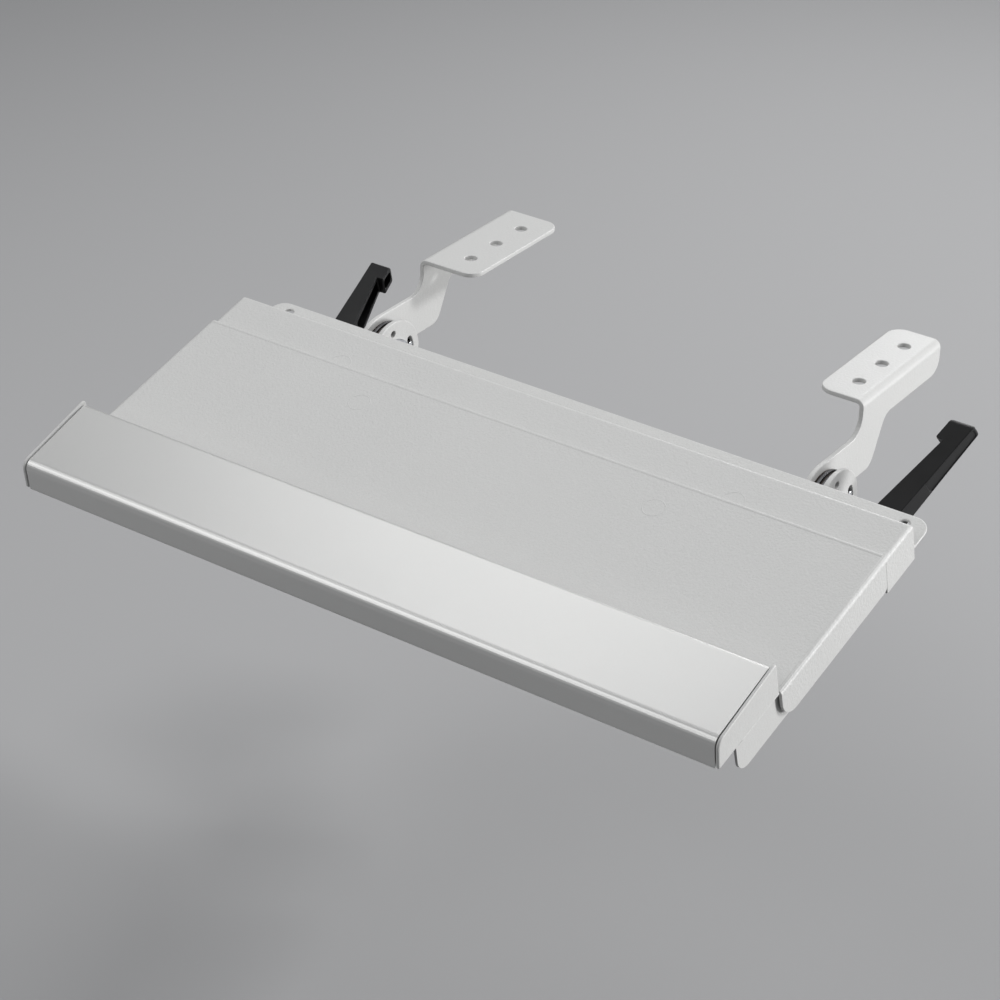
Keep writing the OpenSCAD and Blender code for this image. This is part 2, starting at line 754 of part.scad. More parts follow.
// Rear carrier: strip, drop and band in one bent sheet, with a cheek at each side
module rear_carrier() {
    cheek_low = carrier_top - cheek_h;
    cheek_front = flange_gap - flange_end;
    band_bot = band_top - sheet_t;
    in_r = bend_r - sheet_t;
    color(coat) on_tray() difference() {
        union() {
            intersection() {
                along_y(cheek_front, strip_d)
                    channel(carrier_half, carrier_top, cheek_h, sheet_t, bend_r);
                along_x(-half_w, half_w)
                    polygon(rounded([[cheek_front, cheek_low], [strip_d, cheek_low],
                                     [strip_d, carrier_top], [cheek_front, carrier_top]],
                                    [0, in_r, bend_r, 0]));
            }
            intersection() {
                along_x(-carrier_half, carrier_half) carrier_bend(cheek_front, band_bot);
                union() {
                    along_y(cheek_front, strip_d)
                        polygon(rounded([[-carrier_half, cheek_low],
                                         [carrier_half, cheek_low],
                                         [carrier_half, carrier_top],
                                         [-carrier_half, carrier_top]],
                                        [0, 0, bend_r, bend_r]));
                    translate([0, 0, band_bot]) linear_extrude(band_drop - bend_r)
                        polygon(rounded([[-carrier_half, strip_d - sheet_t],
                                         [carrier_half, strip_d - sheet_t],
                                         [carrier_half, band_rear],
                                         [band_left, band_rear], [band_left, strip_d],
                                         [-carrier_half, strip_d]],
                                        [0, 0, band_corner_r, band_corner_r, 0, 0]));
                }
            }
            translate([-tongue_half, -carrier_reach, carrier_bot])
                cube([2 * tongue_half, carrier_reach + bend_r, sheet_t]);
        }
        for (x = [band_left + band_hole_side, carrier_half - band_hole_side])
            translate([x, band_rear - band_hole_rear, band_bot - cut])
                cylinder(h = sheet_t + 2 * cut, d = band_hole_d);
        for (s = [-1, 1]) translate([s * strap_x, shelf_stud_y, carrier_bot - cut])
            cylinder(h = sheet_t + 2 * cut, d = m5_d + 2 * hole_fit);
    }
}

// Side view of the bent sheet: strip, drop and band
module carrier_bend(front, band_bot) {
    in_r = bend_r - sheet_t;
    wall_y = strip_d - sheet_t;
    polygon(rounded([[front, carrier_bot], [wall_y, carrier_bot], [wall_y, band_bot],
                     [band_rear, band_bot], [band_rear, band_top], [strip_d, band_top],
                     [strip_d, carrier_top], [front, carrier_top]],
                    [0, in_r, bend_r, 0, 0, in_r, bend_r, 0]));
}

module stud(x, y, top, d, len) {
    translate([x, y, top - len]) cylinder(h = len, d = d);
}

// Nut and washer under a stud, with the washer's top face at z = top
module nut_below(x, y, top, size, d) {
    translate([x, y, top - washer_t]) washer(size[0] + washer_wider, d, washer_t);
    translate([x, y, top - washer_t - size[1]]) hex_nut(size, d);
}

module carrier_studs() {
    color(steel) on_tray() for (s = [-1, 1]) {
        for (y = bracket_stud_ys)
            stud(s * bracket_stud_x, y, carrier_bot, m6_d,
                 bracket_t + washer_t + nut_m6[1] + stud_over);
        stud(s * strap_x, strap_stud_y, carrier_bot, m5_d,
             strap_t + washer_t + nut_m5[1] + stud_over);
    }
}

module bracket_nuts() {
    color(steel) on_tray() for (s = [-1, 1], y = bracket_stud_ys)
        nut_below(s * bracket_stud_x, y, carrier_bot - bracket_t, nut_m6, m6_d);
}

// Keyboard shelf
module keyboard_shelf() {
    step_z = -sheet_t - flange_step;
    color(coat) on_tray() intersection() {
        along_y(-shelf_d, 0) channel(half_w, 0, shelf_flange_h, sheet_t, bend_r);
        along_x(-half_w, half_w)
            polygon(rounded([[-shelf_d, -shelf_flange_h], [-flange_end, -shelf_flange_h],
                             [-flange_end, step_z], [0, step_z], [0, 0], [-shelf_d, 0]],
                            [shelf_corner_r, flange_end, 0, 0, 0, 0]));
    }
}

module shelf_studs() {
    color(steel) on_tray() for (s = [-1, 1])
        stud(s * strap_x, shelf_stud_y, -sheet_t, m5_d,
             sheet_t + strap_t + washer_t + nut_m5[1] + stud_over);
}

module strap_nuts() {
    color(steel) on_tray() for (s = [-1, 1], y = [shelf_stud_y, strap_stud_y])
        nut_below(s * strap_x, y, strap_bot, nut_m5, m5_d);
}

// Guide straps under the slide plate, with a slot each
module guide_strap(s) {
    color(steel) on_tray() translate([s * strap_x, 0, strap_bot]) difference() {
        linear_extrude(strap_t)
            polygon(rounded([[-strap_w / 2, strap_front], [strap_w / 2, strap_front],
                             [strap_w / 2, strap_rear], [-strap_w / 2, strap_rear]],
                            [strap_front_r, strap_front_r, strap_rear_r, strap_rear_r]));
        translate([0, 0, -cut]) linear_extrude(strap_t + 2 * cut) {
            for (y = [shelf_stud_y, strap_stud_y]) translate([0, y])
                circle((m5_d + 2 * hole_fit) / 2);
            slot_w = m5_d + 2 * slot_fit;
            for (y = [-slide_stud_y, -slide_stud_y - slide_travel]) translate([0, y])
                circle(slot_w / 2);
            translate([-slot_w / 2, -slide_stud_y - slide_travel])
                square([slot_w, slide_travel]);
        }
    }
}

// Slide plate that carries the hand rest
module slide_plate() {
    slide_low = slide_top - slide_flange_h;
    color(coat) on_tray() difference() {
        intersection() {
            along_y(slide_front, -slide_back)
                channel(slide_half, slide_top, slide_flange_h, slide_t, bend_r);
            along_x(-half_w, half_w)
                polygon(rounded([[slide_front, slide_low], [-slide_back, slide_low],
                                 [-slide_back, slide_top], [slide_front, slide_top]],
                                [slide_corner_r, slide_tail_r, 0, 0]));
        }
        each_rest_screw() translate([0, 0, slide_bot - cut])
            cylinder(h = slide_t + 2 * cut, d = m4_d);
    }
}

module each_rest_screw() {
    for (x = rest_screw_xs, y = rest_screw_ys) translate([x, y, 0]) children();
    for (s = [-1, 1], y = rest_screw_ys) translate([s * tab_screw_x, y, 0]) children();
}

module slide_studs() {
    color(steel) on_tray() for (s = [-1, 1])
        stud(s * strap_x, -slide_stud_y, slide_bot, m5_d,
             slide_gap + strap_t + washer_t + nut_m5[1] + stud_over);
}

module slide_nuts() {
    color(steel) on_tray() for (s = [-1, 1])
        nut_below(s * strap_x, -slide_stud_y, strap_bot - slide_gap / 2, nut_m5, m5_d);
}

// Hand rest: one bent sheet with a front foot and a rear foot
module hand_rest_cover() {
    color(coat) on_tray() difference() {
        along_x(-rest_half, rest_half) difference() {
            polygon(rounded(rest_pts, rest_radii));
            polygon(rounded(inward(rest_pts, rest_t), [for (r = rest_radii) r - rest_t]));
            translate([foot_slot_front, slide_top - cut])
                square([foot_slot_rear - foot_slot_front, rest_t + 2 * cut]);
        }
        each_rest_screw() translate([0, 0, slide_top - cut])
            cylinder(h = rest_t + 2 * cut, d = m4_d);
    }
}

// End plate with a tab that lies on the feet of the cover
module end_plate(s) {
    tab_low = slide_top + rest_t;
    tab_front = rest_screw_ys[1] - tab_edge;
    tab_rear = rest_screw_ys[0] + tab_edge;
    color(coat) on_tray() mirror([s < 0 ? 1 : 0, 0, 0]) {
        along_x(half_w - end_t, half_w) intersection() {
            polygon(rounded(end_pts, end_radii));
            translate([rest_front - 2 * end_proud, end_low])
                square([rest_d + 4 * end_proud, end_top]);
        }
        difference() {
            translate([half_w - end_t - end_tab_w, tab_front, tab_low])
                cube([end_tab_w + end_t / 2, tab_rear - tab_front, rest_t]);
            each_rest_screw() translate([0, 0, tab_low - cut])
                cylinder(h = rest_t + 2 * cut, d = m4_d);
        }
    }
}

module rest_screws() {
    screw_len = slide_t + 2 * rest_t + screw_over;
    color(steel) on_tray() each_rest_screw() {
        translate([0, 0, slide_bot - screw_head[1]])
            cylinder(h = screw_head[1], d = screw_head[0]);
        translate([0, 0, slide_bot - cut]) cylinder(h = screw_len + cut, d = m4_d);
    }
}

module rest_nuts() {
    color(steel) on_tray() {
        for (x = rest_screw_xs, y = rest_screw_ys) translate([x, y, slide_top + rest_t])
            hex_nut(nut_m4, m4_d);
        for (s = [-1, 1], y = rest_screw_ys)
            translate([s * tab_screw_x, y, slide_top + 2 * rest_t]) hex_nut(nut_m4, m4_d);
    }
}

left_arm();
right_arm();
pivot_bush(left_face);  // left_pivot_bush
pivot_bush(right_face);  // right_pivot_bush
limit_pin(left_face);  // left_limit_pin
limit_pin(right_face);  // right_limit_pin
arm_lining(left_face);  // left_arm_lining
arm_lining(right_face);  // right_arm_lining
arm_disc(left_face);  // left_arm_disc
arm_disc(right_face);  // right_arm_disc
ear_lining(left_face);  // left_ear_lining
ear_lining(right_face);  // right_ear_lining
ear_disc(left_face);  // left_ear_disc
ear_disc(right_face);  // right_ear_disc
bracket(left_face, flange_edge - bracket_stud_x);  // left_bracket
bracket(right_face, bracket_stud_x - flange_edge);  // right_bracket
color(steel) left_nut_side() pressure_washer();  // left_pressure_washer
color(steel) right_nut_side() pressure_washer();  // right_pressure_washer
color(steel) left_nut_side() clamp_nut();  // left_clamp_nut
color(steel) right_nut_side() clamp_nut();  // right_clamp_nut
color(steel) on_axis(left_seat) hub_washer();  // left_hub_washer
color(steel) on_axis(right_face + ear_out) hub_washer();  // right_hub_washer
color(steel) on_lever(-1, left_seat, left_lever_a) clamp_stud();  // left_clamp_stud
color(steel) on_lever(1, right_seat, right_lever_a) clamp_stud();  // right_clamp_stud
color(black) on_lever(-1, left_seat, left_lever_a) lever();  // left_lever
color(black) on_lever(1, right_seat, right_lever_a) lever();  // right_lever
color(steel) on_lever(-1, left_seat, left_lever_a) lever_screw();  // left_lever_screw
color(steel) on_lever(1, right_seat, right_lever_a) lever_screw();  // right_lever_screw
color(steel) on_lever(-1, left_seat, left_lever_a) lever_spring();  // left_lever_spring
color(steel) on_lever(1, right_seat, right_lever_a) lever_spring();  // right_lever_spring
rear_carrier();
carrier_studs();
bracket_nuts();
keyboard_shelf();
shelf_studs();
strap_nuts();
guide_strap(-1);  // left_guide_strap
guide_strap(1);  // right_guide_strap
slide_plate();
slide_studs();
slide_nuts();
hand_rest_cover();
end_plate(-1);  // left_end_plate
end_plate(1);  // right_end_plate
rest_screws();
rest_nuts();
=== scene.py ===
"""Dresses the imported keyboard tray: coated sheet metal, clamping levers and fasteners.

The scene is in metres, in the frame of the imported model. The origin is the centre of the
desk screw holes, +X points right, +Y to the back and +Z up. The pieces made here are
described in millimetres, most of them in the frame of the tilted tray.
"""
import json
import math

import bmesh
import bpy
from mathutils import Matrix, Vector


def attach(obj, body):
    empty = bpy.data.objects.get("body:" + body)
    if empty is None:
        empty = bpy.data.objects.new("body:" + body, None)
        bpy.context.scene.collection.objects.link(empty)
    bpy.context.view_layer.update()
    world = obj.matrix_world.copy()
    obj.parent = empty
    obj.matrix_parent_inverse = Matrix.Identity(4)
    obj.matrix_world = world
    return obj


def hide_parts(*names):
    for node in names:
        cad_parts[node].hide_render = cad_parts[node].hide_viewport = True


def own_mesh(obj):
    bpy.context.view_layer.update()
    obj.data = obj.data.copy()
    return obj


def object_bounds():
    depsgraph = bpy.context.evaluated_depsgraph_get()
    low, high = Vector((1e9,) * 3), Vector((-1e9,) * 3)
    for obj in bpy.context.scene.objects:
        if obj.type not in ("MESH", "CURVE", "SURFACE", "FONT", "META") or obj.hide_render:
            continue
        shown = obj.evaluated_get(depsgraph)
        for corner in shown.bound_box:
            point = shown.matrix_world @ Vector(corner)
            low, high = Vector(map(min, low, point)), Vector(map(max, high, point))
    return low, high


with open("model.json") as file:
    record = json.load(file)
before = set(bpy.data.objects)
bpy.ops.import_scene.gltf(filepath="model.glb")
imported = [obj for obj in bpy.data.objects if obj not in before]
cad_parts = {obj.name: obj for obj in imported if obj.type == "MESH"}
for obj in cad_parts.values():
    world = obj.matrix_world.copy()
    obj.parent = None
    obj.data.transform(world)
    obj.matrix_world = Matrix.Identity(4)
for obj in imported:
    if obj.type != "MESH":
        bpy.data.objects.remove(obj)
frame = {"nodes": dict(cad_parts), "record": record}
cad_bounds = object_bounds()
nodes = frame["nodes"]

MM = 0.001


# Shader helpers
def new_material(name):
    """A material with its node tree and Principled shader."""
    material = bpy.data.materials.new(name)
    material.use_nodes = True
    tree = material.node_tree
    return material, tree, tree.nodes["Principled BSDF"]


def add(tree, kind, **settings):
    """Adds a shader node and sets its properties, or its input sockets where named so."""
    node = tree.nodes.new(kind)
    for key, value in settings.items():
        if hasattr(node, key):
            setattr(node, key, value)
        else:
            node.inputs[key.replace("_", " ")].default_value = value
    return node


def position(tree):
    """Object coordinates, which travel with each body."""
    return add(tree, "ShaderNodeTexCoord").outputs["Object"]


def noise(tree, scale, detail=2.0, roughness=0.5):
    """Noise in object space, its scale in waves per metre."""
    node = add(tree, "ShaderNodeTexNoise", Scale=scale, Detail=detail, Roughness=roughness)
    tree.links.new(position(tree), node.inputs["Vector"])
    return node.outputs["Fac"]


# Where most values of a noise lie
NOISE_RANGE = (0.3, 0.7)


def remap(tree, value, low, high, out_low, out_high):
    """Maps the range from low to high onto the range from out_low to out_high."""
    node = add(tree, "ShaderNodeMapRange")
    for socket, number in zip(("From Min", "From Max", "To Min", "To Max"),
                              (low, high, out_low, out_high)):
        node.inputs[socket].default_value = number
    tree.links.new(value, node.inputs["Value"])
    return node.outputs["Result"]


def mix_colour(tree, factor, first, second):
    """Mixes two colours, each an RGB triple or a socket."""
    node = add(tree, "ShaderNodeMix", data_type="RGBA")
    tree.links.new(factor, node.inputs["Factor"])
    for socket, colour in ((node.inputs[6], first), (node.inputs[7], second)):
        if isinstance(colour, tuple):
            socket.default_value = (*colour, 1.0)
        else:
            tree.links.new(colour, socket)
    return node.outputs[2]


def bump(tree, shader, layers):
    """Chains bump layers, each (height socket, distance in metres, strength)."""
    normal = None
    for height, distance, strength in layers:
        node = add(tree, "ShaderNodeBump", Strength=strength, Distance=distance)
        tree.links.new(height, node.inputs["Height"])
        if normal:
            tree.links.new(normal, node.inputs["Normal"])
        normal = node.outputs["Normal"]
    tree.links.new(normal, shader.inputs["Normal"])


def powder_coat(name, tone, peel_depth, rough, mottle=1.0, metallic=0.0):
    """Powder coat: orange peel in soft waves of that depth, with a fine grain on top.

    The mottle scales how far its tone and roughness vary.
    """
    material, tree, shader = new_material(name)
    grain = noise(tree, 1500, 3.0, 0.6)
    peel = noise(tree, 620, 2.0, 0.5)
    cloud = noise(tree, 14, 3.0, 0.55)
    light = tuple(c * (1 + 0.05 * mottle) for c in tone)
    dark = tuple(c * (1 - 0.06 * mottle) for c in tone)
    speck = mix_colour(tree, remap(tree, grain, *NOISE_RANGE, 0.0, 1.0), dark, light)
    cloudy = mix_colour(tree, remap(tree, cloud, *NOISE_RANGE, 0.0, 0.2), speck,
                        tuple(c * 0.92 for c in tone))
    tree.links.new(cloudy, shader.inputs["Base Color"])
    tree.links.new(remap(tree, peel, *NOISE_RANGE, rough - 0.05 * mottle,
                         rough + 0.07 * mottle), shader.inputs["Roughness"])
    shader.inputs["Metallic"].default_value = metallic
    bump(tree, shader, [(peel, peel_depth, 0.8), (grain, 0.1 * peel_depth, 0.5)])
    return material


def steel(name, tone, rough):
    """Plated or blackened steel, in soft patches of its tone."""
    material, tree, shader = new_material(name)
    shader.inputs["Metallic"].default_value = 1.0
    patches = noise(tree, 160, 4.0, 0.6)
    fine = noise(tree, 2600, 2.0, 0.5)
    tree.links.new(mix_colour(tree, patches, tuple(c * 0.8 for c in tone), tone),
                   shader.inputs["Base Color"])
    tree.links.new(remap(tree, patches, *NOISE_RANGE, rough - 0.08, rough + 0.1),
                   shader.inputs["Roughness"])
    bump(tree, shader, [(fine, 0.00002, 0.5)])
    return material


def fibre_lining(name):
    """Dark pressed fibre with paler flecks."""
    material, tree, shader = new_material(name)
    flecks = noise(tree, 1800, 4.0, 0.7)
    tree.links.new(mix_colour(tree, remap(tree, flecks, 0.35, 0.65, 0.0, 1.0),
                              (0.025, 0.022, 0.02), (0.12, 0.10, 0.085)),
                   shader.inputs["Base Color"])
    shader.inputs["Roughness"].default_value = 0.85
    bump(tree, shader, [(flecks, 0.0001, 0.6)])
    return material


def lever_plastic(name):
    """Black filled plastic with a fine grain."""
    material, tree, shader = new_material(name)
    grain = noise(tree, 2200, 2.0, 0.5)
    cloud = noise(tree, 60, 3.0, 0.5)
    tree.links.new(mix_colour(tree, cloud, (0.002, 0.002, 0.0022), (0.009, 0.009, 0.0095)),
                   shader.inputs["Base Color"])
    tree.links.new(remap(tree, cloud, *NOISE_RANGE, 0.38, 0.52),
                   shader.inputs["Roughness"])
    shader.inputs["Specular IOR Level"].default_value = 0.3
    bump(tree, shader, [(grain, 0.00006, 0.6)])
    return material


COAT_TONE = (0.62, 0.62, 0.61)
textured_coat = powder_coat("textured_coat", COAT_TONE, peel_depth=0.0003, rough=0.45)
fine_coat = powder_coat("fine_coat", COAT_TONE, peel_depth=0.00014, rough=0.45)
satin_coat = powder_coat("satin_coat", COAT_TONE, peel_depth=0.000012, rough=0.36,
                         mottle=0.2, metallic=0.45)
zinc = steel("zinc_steel", (0.60, 0.61, 0.63), rough=0.34)
dark_steel = steel("dark_steel", (0.12, 0.12, 0.125), rough=0.4)
lining = fibre_lining("friction_lining")
plastic = lever_plastic("lever_plastic")
BY_SLOT = {"powder_coat": fine_coat, "zinc_steel": zinc, "dark_steel": dark_steel,
           "spring_steel": zinc, "friction_lining": lining, "lever_plastic": plastic}
COAT_OF_NODE = {"keyboard_shelf": textured_coat, "rear_carrier": textured_coat,
                "hand_rest_cover": satin_coat}


# Faces within the first angle are joined, and edges beyond the second are rounded
FLAT_ANGLE = math.radians(0.5)
SHARP_ANGLE = math.radians(30)


def soft_edges(obj, width, bent, merge):
    """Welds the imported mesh, joins its flat faces and rounds its sharp edges.

    A bent sheet keeps its bevels short of its narrow bend faces, and takes its shading
    from the flat faces beside them. Other pieces have their large faces split evenly, so
    that no long thin triangle crosses them.
    """
    weld = obj.modifiers.new("weld", "WELD")
    weld.merge_threshold = merge
    flat = obj.modifiers.new("flat", "DECIMATE")
    flat.decimate_type = "DISSOLVE"
    flat.angle_limit = FLAT_ANGLE
    bevel = obj.modifiers.new("edges", "BEVEL")
    bevel.limit_method = "ANGLE"
    bevel.angle_limit = SHARP_ANGLE
    bevel.width = width
    bevel.segments = 2
    bevel.use_clamp_overlap = bent
    bevel.harden_normals = bent
    if not bent:
        split = obj.modifiers.new("split", "TRIANGULATE")
        split.ngon_method = "BEAUTY"
        split.min_vertices = 5
        normals = obj.modifiers.new("normals", "WEIGHTED_NORMAL")
        normals.weight = 100
        normals.keep_sharp = True


slot_of = {s["node"]: s["material_slot"] for s in frame["record"]["subparts"]}
for node_name, obj in nodes.items():
    obj.data.materials.clear()
    obj.data.materials.append(COAT_OF_NODE.get(node_name, BY_SLOT[slot_of[node_name]]))

# Edge radius of each kind of CAD piece that stays in view
BENT_SHEETS = ("keyboard_shelf", "slide_plate", "hand_rest_cover")
EDGE_MM = {"_arm": 0.6, "_bracket": 0.6, "rear_carrier": 0.65, "keyboard_shelf": 0.8,
           "slide_plate": 0.5, "hand_rest_cover": 0.3, "_end_plate": 0.8,
           "_guide_strap": 0.3, "_lever": 0.4, "_disc": 0.2, "_lining": 0.15,
           "_pivot_bush": 0.3, "_limit_pin": 0.4}
# Vertices closer than this are one, and on an end plate so are those of its shortest edges
MERGE_MM = 0.002
END_PLATE_MERGE_MM = 0.25
for node_name, obj in nodes.items():
    merge = END_PLATE_MERGE_MM if node_name.endswith("_end_plate") else MERGE_MM
    for ending, width in EDGE_MM.items():
        if node_name.endswith(ending):
            soft_edges(obj, width * MM, node_name in BENT_SHEETS, merge * MM)


# Turned pieces
def lathe(bm, place, rings, closed=False, segments=48):
    """Turns rings, each (height, radius), round the Z axis of place, in millimetres.

    A radius can be a function of the angle. A closed piece joins its last ring to its
    first, as round a bore, and an open one has a flat face at each end.
    """
    loops = []
    for height, radius in rings:
        loop = []
        for k in range(segments):
            angle = 2 * math.pi * k / segments
            r = radius(angle) if callable(radius) else radius
            loop.append(bm.verts.new(
                place @ Vector((r * math.cos(angle), r * math.sin(angle), height)) * MM))
        loops.append(loop)
    pairs = list(zip(loops, loops[1:]))
    if closed:
        pairs.append((loops[-1], loops[0]))
    else:
        bm.faces.new(reversed(loops[0]))
        bm.faces.new(loops[-1])
    for low, high in pairs:
        for k in range(segments):
            n = (k + 1) % segments
            bm.faces.new((low[k], low[n], high[n], high[k]))


def hexagon(across):
    """A hexagon's radius at each angle, from its width across flats."""
    return lambda angle: across / 2 / math.cos(angle % (math.pi / 3) - math.pi / 6)


# The chamfer of a nut's end face, in shares of its width across flats
CHAMFER_DEPTHS = (0, 0.02, 0.04, 0.065)
CHAMFER_R = 0.475
CHAMFER_SLOPE = 1.6


def hex_face(across, height, up):
    """Rings of a hexagon's chamfered end face, upwards or down from that height.

    The rings of both ends together run from the lower face to the upper one.
    """
    shape = hexagon(across)
    rings = []
    for depth in CHAMFER_DEPTHS:
        limit = across * (CHAMFER_R + CHAMFER_SLOPE * depth)
        rings.append((height + (depth * across if up else -depth * across),
                      lambda angle, limit=limit: min(shape(angle), limit)))
    return rings if up else rings[::-1]


BORE_CHAMFER = 0.3


def hex_nut(bm, place, across, height, bore_d):
    bore_r = bore_d / 2
    lathe(bm, place, hex_face(across, 0, True) + hex_face(across, height, False)
          + [(height, bore_r + BORE_CHAMFER), (height - BORE_CHAMFER, bore_r),
             (BORE_CHAMFER, bore_r), (0, bore_r + BORE_CHAMFER)], closed=True)


def locking_nut(bm, place, across, height, bore_d):
    """A nut with a rolled collar round its locking ring."""
    bore_r = bore_d / 2
    collar_r = across * 0.45
    hex_h = 0.66 * height
    lathe(bm, place, hex_face(across, 0, True) + hex_face(across, hex_h, False)
          + [(hex_h + 0.1, collar_r), (height - 0.35, collar_r),
             (height - 0.1, collar_r - 0.2), (height, collar_r - 0.5),
             (height - 0.1, bore_r + 0.55), (height - 0.45, bore_r + 0.45),
             (height - 0.5, bore_r), (BORE_CHAMFER, bore_r), (0, bore_r + BORE_CHAMFER)],
          closed=True)


def washer(bm, place, outer_d, bore_d, thick):
    outer, bore, edge = outer_d / 2, bore_d / 2, 0.12 * thick
    lathe(bm, place, [(0, outer - edge), (edge, outer), (thick - edge, outer),
                      (thick, outer - edge), (thick, bore + edge), (thick - edge, bore),
                      (edge, bore), (0, bore + edge)], closed=True)


# Depth of a thread in shares of its pitch, and its rings per pitch
THREAD_DEPTH = 0.55
THREAD_RINGS = 6


def thread(start, end, diameter, pitch):
    """Rings of a helical thread from start to end."""
    depth = THREAD_DEPTH * pitch
    count = math.ceil(abs(end - start) / pitch * THREAD_RINGS)
    rings = []
    for k in range(count + 1):
        height = start + (end - start) * k / count

        def radius(angle, height=height):
            phase = (height / pitch - angle / (2 * math.pi)) % 1
            return diameter / 2 - depth * abs(2 * phase - 1)

        rings.append((height, radius))
    return rings


def threaded_rod(bm, place, diameter, pitch, length, plain):
    """A stud from its plain root at 0 to its chamfered tip at length."""
    root_r = diameter / 2 - THREAD_DEPTH * pitch
    lathe(bm, place, [(0, diameter / 2), (plain, diameter / 2)]
          + thread(plain + 0.3, length - 0.6, diameter, pitch)
          + [(length - 0.5, root_r + 0.1), (length, root_r - 0.2)])


SMOOTH_ANGLE = math.radians(32)


def new_piece(name, bm, material, slot_name, body, *replaced):
    """Links the mesh as an object that rides on its body in place of the CAD nodes."""
    bmesh.ops.recalc_face_normals(bm, faces=bm.faces)
    mesh = bpy.data.meshes.new(name)
    bm.to_mesh(mesh)
    bm.free()
    for face in mesh.polygons:
        face.use_smooth = True
    mesh.set_sharp_from_angle(angle=SMOOTH_ANGLE)
    mesh.materials.append(material)
    obj = bpy.data.objects.new(name, mesh)
    bpy.context.scene.collection.objects.link(obj)
    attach(obj, body)
    if replaced:
        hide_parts(*replaced)
    return obj


# The tray's frame: the origin at the top of the shelf's rear edge, Y along the shelf
PIVOT_MM = Vector((0, -94.2, -49.7))
PIVOT_BACK, PIVOT_LOW = 65.6, 51.6
TILT = math.radians(14)
TRAY = (Matrix.Translation(PIVOT_MM) @ Matrix.Rotation(TILT, 4, "X")
        @ Matrix.Translation((0, -PIVOT_BACK, PIVOT_LOW)))
UPSIDE_DOWN = Matrix.Rotation(math.pi, 4, "X")


def on_tray(x, y, z):
    """A place on the tray whose Z axis points up."""
    return TRAY @ Matrix.Translation((x, y, z))


def under(x, y, z):
    """A place on the tray whose Z axis points down."""
    return on_tray(x, y, z) @ UPSIDE_DOWN


SIDES = (-1, 1)
# Lower faces of the sheets, and of the bracket flanges and guide straps that the nuts meet
SHELF_BOT, SLIDE_BOT, CARRIER_BOT, NUT_FACE = -2, -3.8, -4, -7
SLIDE_NUT_GAP = 0.1
BRACKET_STUD_X, BRACKET_STUD_YS = 140.6, (3, -22)
STRAP_X, SHELF_STUD_Y, CARRIER_STUD_Y, SLIDE_STUD_Y = 105, -24, -10, -62

# Threads: diameter and pitch
M4, M5, M6, M8 = (4, 0.7), (5, 0.8), (6, 1.0), (8, 1.25)
# Nuts: width across flats, height and bore
M4_NUT, M5_NUT, M6_NUT, M8_NUT = (7, 3, 3.9), (8, 4, 4.8), (10, 5, 5.8), (13, 6.5, 7.6)
# Washers: outer diameter, bore and thickness
WASHER_T, WIDE_WASHER_T = 1.2, 2
M5_WASHER, M6_WASHER = (10, 5.2, WASHER_T), (12, 6.2, WASHER_T)
WIDE_WASHER, HUB_WASHER = (28, 8.6, WIDE_WASHER_T), (21, 8.6, WIDE_WASHER_T)

# Weld studs under the carrier and the shelf
bm = bmesh.new()
for side in SIDES:
    for y in BRACKET_STUD_YS:
        threaded_rod(bm, under(side * BRACKET_STUD_X, y, CARRIER_BOT), *M6,
                     length=11.7, plain=1.5)
    threaded_rod(bm, under(side * STRAP_X, CARRIER_STUD_Y, CARRIER_BOT), *M5,
                 length=10.7, plain=1.5)
new_piece("carrier_weld_studs", bm, zinc, "zinc_steel", "tray", "carrier_studs")

bm = bmesh.new()
for side in SIDES:
    threaded_rod(bm, under(side * STRAP_X, SHELF_STUD_Y, SHELF_BOT), *M5,
                 length=12.7, plain=3)
new_piece("shelf_weld_studs", bm, zinc, "zinc_steel", "tray", "shelf_studs")

# Washers and nuts that hold the brackets and the guide straps
bm = bmesh.new()
for side in SIDES:
    for y in BRACKET_STUD_YS:
        washer(bm, under(side * BRACKET_STUD_X, y, NUT_FACE), *M6_WASHER)
        hex_nut(bm, under(side * BRACKET_STUD_X, y, NUT_FACE - WASHER_T), *M6_NUT)
new_piece("bracket_nuts_and_washers", bm, zinc, "zinc_steel", "tray", "bracket_nuts")

bm = bmesh.new()
for side in SIDES:
    for y in (SHELF_STUD_Y, CARRIER_STUD_Y):
        washer(bm, under(side * STRAP_X, y, NUT_FACE), *M5_WASHER)
        hex_nut(bm, under(side * STRAP_X, y, NUT_FACE - WASHER_T), *M5_NUT)
new_piece("strap_nuts_and_washers", bm, zinc, "zinc_steel", "tray", "strap_nuts")

# Slide: studs of the slide plate in the straps' slots, with locking nuts
bm = bmesh.new()
for side in SIDES:
    threaded_rod(bm, under(side * STRAP_X, SLIDE_STUD_Y, SLIDE_BOT), *M5,
                 length=10.9, plain=3)
new_piece("slide_weld_studs", bm, zinc, "zinc_steel", "hand_rest", "slide_studs")

SLIDE_NUT_FACE = NUT_FACE - SLIDE_NUT_GAP
bm = bmesh.new()
for side in SIDES:
    washer(bm, under(side * STRAP_X, SLIDE_STUD_Y, SLIDE_NUT_FACE), *M5_WASHER)
    locking_nut(bm, under(side * STRAP_X, SLIDE_STUD_Y, SLIDE_NUT_FACE - WASHER_T), *M5_NUT)
new_piece("slide_locking_nuts", bm, zinc, "zinc_steel", "hand_rest", "slide_nuts")

